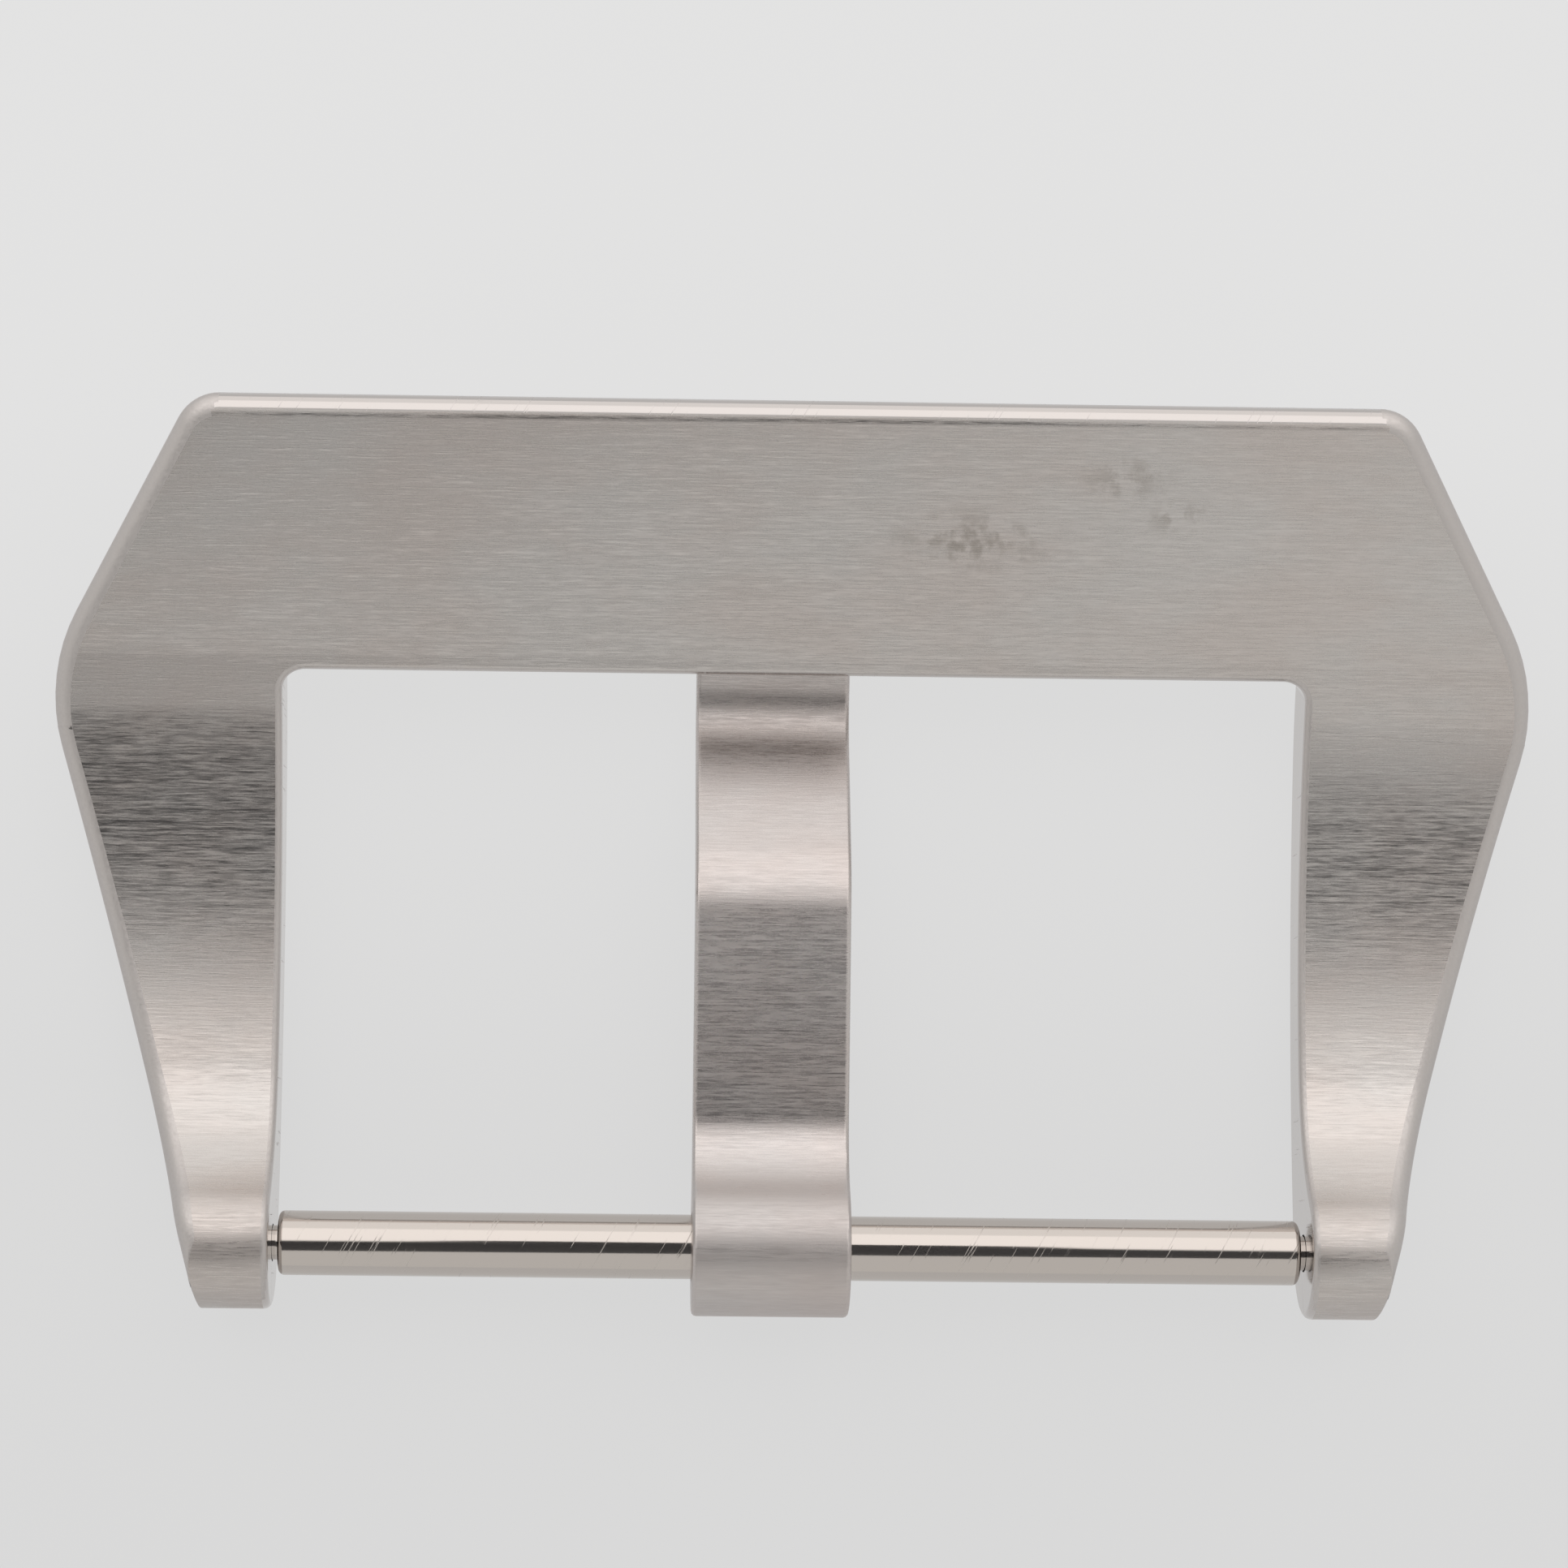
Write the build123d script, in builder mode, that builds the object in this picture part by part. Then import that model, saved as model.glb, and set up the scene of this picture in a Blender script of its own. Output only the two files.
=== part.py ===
"""Watch strap tang buckle: a curved steel frame, its tang, and the spring bar between the arms.

Lengths are in millimetres. X runs along the spring bar, +Y goes from the spring bar to the wide bar,
and +Z is the side that faces the wrist. The origin is the middle of the spring bar's axis.
"""

import os
from math import atan2, cos, hypot, radians, sin, tan

from build123d import *

os.makedirs("parts", exist_ok=True)

# Driving dimensions of the frame
strap_width = 24.0  # clear width between the arms
window_reach = 13.28  # from the spring bar's axis to the wide bar
frame_reach = 19.4  # from the spring bar's axis to the frame's far edge
nose_width = 1.64  # width of an arm's end
widest_width = 35.27  # across the two side corners, before they are rounded
widest_reach = 13.2
far_width = 28.0  # across the two far corners, before they are rounded
widest_round = 4.0
far_round = 1.1
window_round = 0.55
nose_radius = 1.53  # half the thickness of an arm's rounded end

# Side view of the frame
outer_radius = 37.0  # curve of the face that is seen when worn
outer_low_reach = 5.1  # where that curve is lowest
bar_pitch = 24.0  # degrees that the wide bar rises away from the spring bar
outer_bar_reach = 13.0  # where the curve goes over into the bar's flat outer face
outer_bar_round = 9.0
hollow_radius = 20.4  # curve of the face towards the wrist
hollow_low_reach = 5.7
arm_thickness = 1.4  # at the lowest place of the hollow
ramp_radius = 4.6  # from the hollow up to the arm's rounded end

# Eased edges of the frame
rim_round = 0.4
window_edge_round = 0.16

# Spring bar
bar_diameter = 1.5
bar_side_gap = 0.15  # between the tube's end and the arm
tube_bore = 1.0
lip_length = 0.35  # crimped end that holds the tip in
tube_edge_round = 0.14
pivot_diameter = 0.8
pivot_depth = 0.9  # how far a tip stands in the arm
pivot_round = 0.15
head_length = 1.2
hole_spare_depth = 0.2
running_gap = 0.04  # all round a pin in its hole
seat_gap = 0.02  # between a tip's head and what it bears on
coil_wire = 0.25
coil_turns = 20

# Tang
tang_width = 3.65
tang_thickness = 0.8
tang_shift = -0.45  # where the tang lies along the spring bar
knuckle_radius = 1.6
tang_bore_gap = 0.05
shank_height = -0.2  # from the spring bar's axis up to the top of the shank, carried back to that axis
shank_pitch = 5.6  # degrees that the shank rises
heel_gap = 0.67  # from the window's far edge back to where the falling upper face meets the tip's
crest_gap = 3.96  # from there back to where the falling upper face meets the shank's
crest_round = 3.0
heel_round = 1.8
tip_reach = 18.3
tip_round = 1.2
tip_gap = 0.03  # between the tang and the bar's outer face
knuckle_top_round = 2.0
knuckle_under_round = 0.8
tang_edge_round = 0.12

overrun = 1.0  # how far a cutting shape runs past what it cuts
slack = 1e-6  # how close two worked-out numbers are when they are the same

# Worked out from the sizes above
pitch = radians(bar_pitch)
pivot_radius = pivot_diameter / 2
tube_half_length = strap_width / 2 - bar_side_gap
outer_centre_height = ((outer_radius - nose_radius) ** 2 - outer_low_reach**2) ** 0.5
low_height = outer_centre_height - outer_radius


def meeting_point(centre_a, radius_a, centre_b, radius_b):
    """Point at radius_a from centre_a and radius_b from centre_b, on the right of the way from a to b."""
    across = (centre_b - centre_a).normalized()
    apart = (centre_b - centre_a).length
    along = (apart**2 + radius_a**2 - radius_b**2) / (2 * apart)
    aside = (radius_a**2 - along**2) ** 0.5
    return centre_a + across * along + Vector(across.Y, -across.X) * aside


# Points of the frame's side view, as distance from the spring bar and height
axis_point = Vector(0, 0)
outer_centre = Vector(outer_low_reach, outer_centre_height)
hollow_low = Vector(
    hollow_low_reach,
    outer_centre_height - (outer_radius**2 - (hollow_low_reach - outer_low_reach) ** 2) ** 0.5 + arm_thickness,
)
hollow_centre = hollow_low + Vector(0, hollow_radius)
ramp_centre = meeting_point(axis_point, nose_radius + ramp_radius, hollow_centre, hollow_radius - ramp_radius)
ramp_foot = hollow_centre + (ramp_centre - hollow_centre).normalized() * hollow_radius
ramp_head = ramp_centre.normalized() * nose_radius
nose_under = outer_centre.normalized() * -nose_radius
face_start = hollow_centre + Vector(sin(pitch), -cos(pitch)) * hollow_radius
past_reach = frame_reach + overrun
face_end = face_start + Vector(1, tan(pitch)) * (past_reach - face_start.X)
under_break = Vector(
    outer_bar_reach,
    outer_centre_height - (outer_radius**2 - (outer_bar_reach - outer_low_reach) ** 2) ** 0.5,
)
under_end = under_break + Vector(1, tan(pitch)) * (past_reach - outer_bar_reach)

# The noses are cut round from longer arms, so that the soft outer rims run out over them
past_nose = nose_radius + overrun
nose_top = Vector(0, nose_radius)
long_top = Vector(-past_nose, nose_radius)
long_under = nose_under + Vector(-1, outer_centre.X / outer_centre.Y) * (past_nose + nose_under.X)
above_nose = nose_top + Vector(0, overrun)
below_nose = nose_under - Vector(0, overrun)


def wrist_face(reach):
    """Point of the face towards the wrist, on the wide bar's flat or before it in the hollow."""
    if reach > face_start.X:
        return face_start + Vector(1, tan(pitch)) * (reach - face_start.X)
    run = reach - hollow_centre.X
    return hollow_centre + Vector(run, -((hollow_radius**2 - run**2) ** 0.5))


# The window's far wall stands square to the wide bar
across_bar = Vector(sin(pitch), -cos(pitch))
window_corner = wrist_face(window_reach)
window_upper = window_corner - across_bar * overrun
window_lower = window_corner + across_bar * (nose_radius * 2 + overrun)


def outward(point, centre, radius):
    """Point of the circle round centre that lies towards point."""
    return centre + (point - centre).normalized() * radius


# Frame
inner_half = strap_width / 2
nose_half = inner_half + nose_width
widest_half = widest_width / 2
far_half = far_width / 2
nose_slope = (widest_half - nose_half) / (widest_reach + nose_radius)
past_nose_half = nose_half - nose_slope * overrun
outline_points = [
    (past_nose_half, -past_nose),
    (widest_half, widest_reach),
    (far_half, frame_reach),
    (-far_half, frame_reach),
    (-widest_half, widest_reach),
    (-past_nose_half, -past_nose),
]
outline_rounds = [0, widest_round, far_round, far_round, widest_round, 0]


def stands_outside(face):
    """True for an upright wall of the plan outline, flat or round, that isn't an arm's cut end."""
    if face.center().Y < -nose_radius:
        return False
    if face.geom_type == GeomType.PLANE:
        return abs(face.normal_at().Z) < slack
    turning_axis = face.axis_of_rotation
    return turning_axis is not None and abs(turning_axis.direction.Z) > 1 - slack


def faces_window(face):
    """True for a wall of the opening that the strap passes through."""
    if face.geom_type == GeomType.PLANE:
        at_arm = abs(abs(face.center().X) - inner_half) < slack and abs(face.normal_at().X) > 1 - slack
        return at_arm or face.normal_at().dot(Vector(0, -cos(pitch), -sin(pitch))) > 1 - slack
    turning_axis = face.axis_of_rotation
    return turning_axis is not None and abs(turning_axis.direction.dot(window_slant)) > 1 - slack


def rims_of(walls, wall_edge):
    """The edges along the top and the bottom of walls, without those between two walls."""
    return [edge for wall in walls for edge in wall.edges() if abs((edge % 0.5).dot(wall_edge)) < 1 - slack]


upright = Vector(0, 0, 1)
window_slant = Vector(0, across_bar.X, across_bar.Y)

with BuildPart() as frame:
    with BuildSketch(Plane.YZ) as side_view:
        with BuildLine():
            Line(long_top, nose_top)
            ThreePointArc(nose_top, outward(nose_top + ramp_head, axis_point, nose_radius), ramp_head)
            ThreePointArc(ramp_head, outward((ramp_head + ramp_foot) / 2, ramp_centre, ramp_radius), ramp_foot)
            ThreePointArc(ramp_foot, outward((ramp_foot + face_start) / 2, hollow_centre, hollow_radius), face_start)
            Line(face_start, face_end)
            Line(face_end, under_end)
            Line(under_end, under_break)
            ThreePointArc(under_break, outward((under_break + nose_under) / 2, outer_centre, outer_radius), nose_under)
            Line(nose_under, long_under)
            Line(long_under, long_top)
        make_face()
        under_corner = side_view.vertices().sort_by_distance((under_break.X, under_break.Y))[0]
        fillet(under_corner, outer_bar_round)
    extrude(amount=widest_half + overrun, both=True)

    with BuildSketch(Plane.XY.offset(low_height - overrun)):
        with BuildLine():
            FilletPolyline(*outline_points, radius=outline_rounds, close=True)
        make_face()
    extrude(amount=face_end.Y - low_height + overrun * 2, mode=Mode.INTERSECT)
    fillet(rims_of(frame.faces().filter_by(stands_outside), upright), rim_round)

    with BuildSketch(Plane.YZ):
        with BuildLine():
            ThreePointArc(nose_top, Vector(-nose_radius, 0), nose_under)
            Polyline(
                nose_under,
                below_nose,
                (-past_nose - overrun, below_nose.Y),
                (-past_nose - overrun, above_nose.Y),
                above_nose,
                nose_top,
            )
        make_face()
    extrude(amount=widest_half + overrun, both=True, mode=Mode.SUBTRACT)

    with BuildPart(mode=Mode.SUBTRACT) as window:
        with BuildSketch(Plane.YZ):
            with BuildLine():
                Polyline(
                    (-past_nose, window_upper.Y),
                    window_upper,
                    window_lower,
                    (-past_nose, window_lower.Y),
                    close=True,
                )
            make_face()
        extrude(amount=inner_half, both=True)
        far_wall = window.faces().sort_by(Axis.Y)[-1]
        fillet(far_wall.edges().filter_by(Axis.X, reverse=True), window_round)

    fillet(rims_of(frame.faces().filter_by(faces_window), window_slant), window_edge_round)

    for side in (1, -1):
        with BuildSketch(Plane.YZ.offset(side * inner_half)):
            Circle(pivot_radius + running_gap)
        extrude(amount=side * (pivot_depth + hole_spare_depth), mode=Mode.SUBTRACT)

# Spring bar tube, with its ends crimped in
tube_radius = bar_diameter / 2
bore_radius = tube_bore / 2
lip_radius = pivot_radius + running_gap
lip_inside = tube_half_length - lip_length

with BuildPart() as spring_bar_tube:
    with BuildSketch(Plane.XY):
        with BuildLine():
            Polyline(
                (-tube_half_length, lip_radius),
                (-tube_half_length, tube_radius),
                (tube_half_length, tube_radius),
                (tube_half_length, lip_radius),
                (lip_inside, lip_radius),
                (lip_inside, bore_radius),
                (-lip_inside, bore_radius),
                (-lip_inside, lip_radius),
                close=True,
            )
        make_face()
    revolve(axis=Axis.X)
    end_rims = spring_bar_tube.edges().filter_by(GeomType.CIRCLE).group_by(SortBy.RADIUS)[-1]
    fillet(end_rims, tube_edge_round)

# Spring bar tips: a head that slides in the tube and a pivot that stands in the arm
head_radius = bore_radius - running_gap
head_front = lip_inside - seat_gap
head_back = head_front - head_length
pivot_end = inner_half + pivot_depth
tips = {}

for side, tip_name in ((-1, "spring_bar_tip_left"), (1, "spring_bar_tip_right")):
    with BuildPart() as tip:
        with BuildSketch(Plane.XY):
            with BuildLine():
                Polyline(
                    (side * head_back, 0),
                    (side * head_back, head_radius),
                    (side * head_front, head_radius),
                    (side * head_front, pivot_radius),
                    (side * pivot_end, pivot_radius),
                    (side * pivot_end, 0),
                    close=True,
                )
            make_face()
        revolve(axis=Axis.X)
        pivot_rim = tip.edges().filter_by(GeomType.CIRCLE).sort_by(Axis.X)[0 if side < 0 else -1]
        fillet(pivot_rim, pivot_round)
    tips[tip_name] = tip

# Spring inside the tube, pressed between the two heads
coil_radius = head_radius - coil_wire / 2
coil_half_length = head_back - seat_gap - coil_wire / 2

with BuildPart() as spring_bar_coil:
    with BuildLine() as winding:
        Helix(
            pitch=coil_half_length * 2 / coil_turns,
            height=coil_half_length * 2,
            radius=coil_radius,
            center=(-coil_half_length, 0, 0),
            direction=(1, 0, 0),
        )
    with BuildSketch(Plane(origin=winding.line @ 0, z_dir=winding.line % 0)):
        Circle(coil_wire / 2)
    sweep(path=winding.line, is_frenet=True)

# Tang: a knuckle round the spring bar, a shank that crosses the window, and a tip under the wide bar
shank_tilt = radians(shank_pitch)
half_thickness = tang_thickness / 2
shank_start = Vector(0, shank_height - half_thickness / cos(shank_tilt))


def crossing(point_a, slope_a, point_b, slope_b):
    """Point where two lines meet, each given by a point and its rise over run."""
    run = (point_b.Y - point_a.Y + slope_a * point_a.X - slope_b * point_b.X) / (slope_a - slope_b)
    return Vector(run, point_a.Y + slope_a * (run - point_a.X))


upper_tip_line = under_break - Vector(0, tip_gap / cos(pitch))
upper_corner = upper_tip_line + Vector(1, tan(pitch)) * (window_reach - heel_gap - upper_tip_line.X)
upper_crest = Vector(0, shank_height) + Vector(1, tan(shank_tilt)) * (upper_corner.X - crest_gap)
drop_tilt = atan2(upper_crest.Y - upper_corner.Y, crest_gap)
heel_lean = (drop_tilt - pitch) / 2
heel_offset = half_thickness / cos((drop_tilt + pitch) / 2)
heel = upper_corner - Vector(sin(heel_lean), cos(heel_lean)) * heel_offset
crest = crossing(shank_start, tan(shank_tilt), heel, -tan(drop_tilt))
tang_tip = heel + Vector(1, tan(pitch)) * (tip_reach - heel.X)

with BuildPart() as tang:
    with BuildSketch(Plane.YZ.offset(tang_shift)) as tang_view:
        with BuildLine():
            FilletPolyline(shank_start, crest, heel, tang_tip,
                           radius=[crest_round - half_thickness, heel_round + half_thickness])
        trace(line_width=tang_thickness)
        Circle(knuckle_radius)
        joins = tang_view.vertices().filter_by(lambda point: abs(hypot(point.X, point.Y) - knuckle_radius) < slack)
        under_join, upper_join = joins.sort_by(Axis.Y)
        fillet(upper_join, knuckle_top_round)
        under_join = tang_view.vertices().sort_by_distance((under_join.X, under_join.Y))[0]
        fillet(under_join, knuckle_under_round)
        Circle(tube_radius + tang_bore_gap, mode=Mode.SUBTRACT)
    extrude(amount=tang_width / 2, both=True)
    tip_corners = tang.faces().sort_by(Axis.Y)[-1].edges().filter_by(Axis.X, reverse=True)
    fillet(tip_corners, tip_round)
    sides = tang.faces().filter_by(Axis.X)
    side_rims = [edge for face in sides for edge in face.outer_wire().edges()]
    fillet(side_rims, tang_edge_round)

frame.part.label = "frame"
tang.part.label = "tang"
spring_bar_tube.part.label = "spring_bar_tube"
spring_bar_coil.part.label = "spring_bar_coil"
export_step(frame.part, "parts/frame.step")
export_step(tang.part, "parts/tang.step")
export_step(spring_bar_tube.part, "parts/spring_bar_tube.step")
export_step(spring_bar_coil.part, "parts/spring_bar_coil.step")
for tip_name, tip in tips.items():
    tip.part.label = tip_name
    export_step(tip.part, f"parts/{tip_name}.step")
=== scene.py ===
"""Looks of a watch tang buckle: brushed frame and tang, polished spring bar, on a pale table.

X runs along the spring bar, +Y from it to the wide bar, and +Z is the side that faces the wrist.
"""

from math import atan2, cos, pi, radians, sin, sqrt, tan
from types import SimpleNamespace

import bmesh
import bpy
from bpy.props import FloatProperty, FloatVectorProperty, IntProperty, PointerProperty
from mathutils import Matrix, Vector


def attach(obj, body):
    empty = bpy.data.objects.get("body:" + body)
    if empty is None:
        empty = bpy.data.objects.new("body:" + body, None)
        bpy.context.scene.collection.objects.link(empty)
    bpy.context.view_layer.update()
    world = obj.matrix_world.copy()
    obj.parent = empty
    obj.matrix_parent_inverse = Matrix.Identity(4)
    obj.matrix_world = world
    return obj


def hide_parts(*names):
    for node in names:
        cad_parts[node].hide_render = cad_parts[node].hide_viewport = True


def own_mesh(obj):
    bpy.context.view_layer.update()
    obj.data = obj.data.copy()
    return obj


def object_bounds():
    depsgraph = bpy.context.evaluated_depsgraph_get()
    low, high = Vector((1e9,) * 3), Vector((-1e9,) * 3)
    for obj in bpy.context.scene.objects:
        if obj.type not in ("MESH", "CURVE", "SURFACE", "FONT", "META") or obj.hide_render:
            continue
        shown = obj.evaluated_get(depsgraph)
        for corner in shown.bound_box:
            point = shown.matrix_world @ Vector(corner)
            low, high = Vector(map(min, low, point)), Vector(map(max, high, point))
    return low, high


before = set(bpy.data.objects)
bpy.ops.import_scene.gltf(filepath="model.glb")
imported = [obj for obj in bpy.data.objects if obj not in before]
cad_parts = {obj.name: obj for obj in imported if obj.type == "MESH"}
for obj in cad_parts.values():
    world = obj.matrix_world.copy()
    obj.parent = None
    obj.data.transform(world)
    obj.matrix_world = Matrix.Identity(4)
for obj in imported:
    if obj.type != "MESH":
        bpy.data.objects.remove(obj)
cad_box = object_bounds()

bl_info = {
    "name": "Watch Tang Buckle",
    "version": (1, 0, 0),
    "blender": (4, 5, 0),
    "location": "3D View > Sidebar > Buckle",
    "description": "Models a brushed steel tang buckle with its tang and spring bar",
    "category": "Add Mesh",
}

MM = 0.001
PHOTO_SIDE = 1932  # pixels along each side of the photograph
ARC_STEP = radians(6)  # turn between two points of an arc
FINE_STEP = 0.1  # millimetres between two cuts where the side view bends tightly
COARSE_STEP = 0.3  # millimetres between two cuts elsewhere
RIM_STEPS = 6  # faces across a rim of the frame
EDGE_STEPS = 3  # faces across an edge of the tang
TIP_STEPS = 8  # faces round a corner of the tang's tip
HOLE_STEPS = 32  # faces round a blind hole of the frame
BORE_STEPS = 64  # faces round the knuckle's bore
SETTLING_ROUNDS = 8  # after which the window's far wall has found its place on a slope
SHARP_TURN = radians(30)  # faces that meet at more than this are a rim
TOUCHING = 1e-4  # millimetres under which two points are one
CRISP_SHARE = 0.1  # of the soft rim's radius, where an edge is left crisp
BRUSHED_LIMIT = 0.03  # a face whose normal has more X than this is part of a rim or a side wall
WALL_SHARE = 0.6  # a face towards the spring bar whose normal has more Y than this is the window's far wall
EDGE_SHARE = 0.5  # a face of the window whose normal has more Z than this is part of its softened edge
BRUSHED, TUMBLED, BURNISHED = range(3)  # places of the frame's finishes among its materials
SHORT_LINES = (0.5, 0.032)  # millimetres long and wide, left by the belt's grit
LONG_LINES = (2.4, 0.06)  # millimetres long and wide, left by its coarsest grains
CLOUDS = (5.0, 3.0)  # millimetres long and wide, where the steel is a shade cooler or warmer
LINE_DEPTH = 0.0025  # millimetres
SPECKLE = 0.09  # millimetres between two dimples of the tumbled walls
SPECKLE_DEPTH = 0.006  # millimetres
SCRATCHES = (1.6, 0.04)  # millimetres long and wide, on the polished bar
SCRATCH_DEPTH = 0.002  # millimetres
BLOTCH = 0.5  # millimetres between two patches of a stain
GLOW_SHARE = 0.88  # of the table's light is its own, which leaves the buckle's shadow faint
TABLE_REACH = 2.0  # metres from the table's middle to each edge
STAINS = (
    # Place across and away from the spring bar, half width and half height in millimetres, and strength
    (4.0, 16.3, 2.2, 0.8, 0.5),
    (8.8, 16.9, 1.0, 0.5, 0.4),
    (7.5, 17.7, 1.3, 0.7, 0.35),
)
SIDES = ((-1, "left"), (1, "right"))
AXIS_X = Vector((1, 0, 0))


def linear(code):
    """A colour written as sRGB hex, as Blender's linear red, green and blue."""
    shares = [int(code[place:place + 2], 16) / 255 for place in (1, 3, 5)]
    return tuple(share / 12.92 if share <= 0.04045 else ((share + 0.055) / 1.055) ** 2.4 for share in shares)


def length(name, description, size):
    """A length of the buckle, given in millimetres."""
    return FloatProperty(name=name, description=description, default=size * MM, unit="LENGTH", precision=5)


def angle(name, description, size):
    """An angle of the buckle, given in degrees."""
    return FloatProperty(name=name, description=description, default=radians(size), subtype="ANGLE")


def colour(name, description, code):
    """A colour of the buckle, given as sRGB hex."""
    return FloatVectorProperty(
        name=name, description=description, default=linear(code), subtype="COLOR", min=0, max=1)


class BuckleFrameSizes(bpy.types.PropertyGroup):
    """Sizes of the frame."""

    strap_width: length("Strap width", "Clear width between the arms", 24.0)
    window_reach: length("Window reach", "From the spring bar's axis to the wide bar", 13.28)
    frame_reach: length("Frame reach", "From the spring bar's axis to the far edge", 19.4)
    nose_width: length("Nose width", "Width of an arm's end", 1.64)
    widest_width: length("Widest width", "Across the two side corners before they are rounded", 35.27)
    widest_reach: length("Widest reach", "From the spring bar's axis to the side corners", 13.2)
    far_width: length("Far width", "Across the two far corners before they are rounded", 28.0)
    widest_round: length("Side corner round", "Radius of the side corners", 4.0)
    far_round: length("Far corner round", "Radius of the far corners", 1.1)
    window_round: length("Window corner round", "Radius of the window's inner corners", 0.55)
    nose_radius: length("Nose radius", "Half the thickness of an arm's rounded end", 1.53)
    outer_radius: length("Outer curve", "Radius of the face that is seen when worn", 37.0)
    outer_low_reach: length("Outer low reach", "Where the outer curve is lowest", 5.1)
    bar_pitch: angle("Bar pitch", "Rise of the wide bar away from the spring bar", 24.0)
    outer_bar_reach: length("Outer bar reach", "Where the outer curve goes over into the flat", 13.0)
    outer_bar_round: length("Outer bar round", "Radius where the outer curve meets the flat", 9.0)
    hollow_radius: length("Hollow radius", "Radius of the face towards the wrist", 20.4)
    hollow_low_reach: length("Hollow low reach", "Where the hollow is lowest", 5.7)
    arm_thickness: length("Arm thickness", "Thickness at the lowest place of the hollow", 1.4)
    ramp_radius: length("Ramp radius", "Radius from the hollow up to the nose", 4.6)
    rim_round: length("Rim round", "Radius of the outer edges", 0.4)
    window_edge_round: length("Window edge round", "Radius of the window's edges", 0.16)
    hole_radius: length("Hole radius", "Radius of the blind holes for the spring bar", 0.44)
    hole_depth: length("Hole depth", "Depth of the blind holes for the spring bar", 1.1)


class BuckleTangSizes(bpy.types.PropertyGroup):
    """Sizes of the tang."""

    width: length("Width", "Width of the tang", 3.65)
    thickness: length("Thickness", "Thickness of the strip", 0.8)
    shift: length("Shift", "How far the tang lies to the left along the spring bar", 0.45)
    knuckle_radius: length("Knuckle radius", "Radius of the knuckle round the spring bar", 1.6)
    bore_radius: length("Bore radius", "Radius of the knuckle's bore", 0.8)
    shank_height: length("Shank height", "Top of the shank against the axis, below it when negative", -0.2)
    shank_pitch: angle("Shank pitch", "Rise of the shank", 5.6)
    heel_gap: length("Heel gap", "From the window's far edge back to the heel's corner", 0.67)
    crest_gap: length("Crest gap", "From the heel's corner back to the crest's", 3.96)
    crest_round: length("Crest round", "Radius of the crest's upper face", 3.0)
    heel_round: length("Heel round", "Radius of the heel's upper face", 1.8)
    tip_reach: length("Tip reach", "From the spring bar's axis to the tip", 18.3)
    tip_round: length("Tip round", "Radius of the tip's corners", 1.2)
    tip_gap: length("Tip gap", "Between the tang and the bar's outer face", 0.03)
    knuckle_top_round: length("Upper knuckle round", "Radius between knuckle and shank, above", 2.0)
    knuckle_under_round: length("Lower knuckle round", "Radius between knuckle and shank, below", 0.8)
    edge_round: length("Edge round", "Radius of the strip's edges", 0.12)


class BuckleBarSizes(bpy.types.PropertyGroup):
    """Sizes of the spring bar."""

    tube_radius: length("Tube radius", "Outer radius of the tube", 0.75)
    tube_half_length: length("Tube half length", "Half the tube's length", 11.85)
    bore_radius: length("Bore radius", "Inner radius of the tube", 0.5)
    lip_radius: length("Lip radius", "Opening of the crimped ends", 0.44)
    lip_length: length("Lip length", "Length of the crimped ends", 0.35)
    end_round: length("End round", "Radius of the tube's outer ends", 0.14)
    pivot_radius: length("Pivot radius", "Radius of a tip's pivot", 0.4)
    pivot_reach: length("Pivot reach", "From the middle to the pivot's end", 12.9)
    pivot_round: length("Pivot round", "Radius of the pivot's end", 0.15)
    head_radius: length("Head radius", "Radius of a tip's head", 0.46)
    head_back: length("Head back", "From the middle to the head's inner face", 10.28)
    head_front: length("Head front", "From the middle to the head's outer face", 11.48)
    tip_travel: length("Tip travel", "How far each tip slides into the tube", 1.05)
    steps: IntProperty(name="Steps", description="Faces round the bar", default=96, min=12)


class BuckleColours(bpy.types.PropertyGroup):
    """Colours of the steel and of the table."""

    frame_steel: colour("Frame steel", "Colour of the brushed frame", "#C7C2BF")
    tang_steel: colour("Tang steel", "Colour of the brushed tang", "#C9C3C1")
    bar_steel: colour("Bar steel", "Colour of the polished spring bar", "#C7C0BA")
    spring_wire: colour("Spring wire", "Colour of the drawn wire", "#B9B7B4")
    stain: colour("Stain", "Colour of the faint marks on the wide bar", "#8C857C")
    table: colour("Table", "Colour of the pale table", "#DEDEDE")


def in_millimetres(group):
    """The group's lengths in millimetres, because bevels need room to tell small edges apart."""
    values = {}
    for key in type(group).__annotations__:
        size = getattr(group, key)
        values[key] = size / MM if group.bl_rna.properties[key].unit == "LENGTH" else size
    return SimpleNamespace(**values)


def meeting_point(centre_a, radius_a, centre_b, radius_b):
    """Point at radius_a from centre_a and radius_b from centre_b, on the right of the way from a to b."""
    across = (centre_b - centre_a).normalized()
    apart = (centre_b - centre_a).length
    along = (apart**2 + radius_a**2 - radius_b**2) / (2 * apart)
    aside = sqrt(radius_a**2 - along**2)
    return centre_a + across * along + Vector((across.y, -across.x)) * aside


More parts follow.
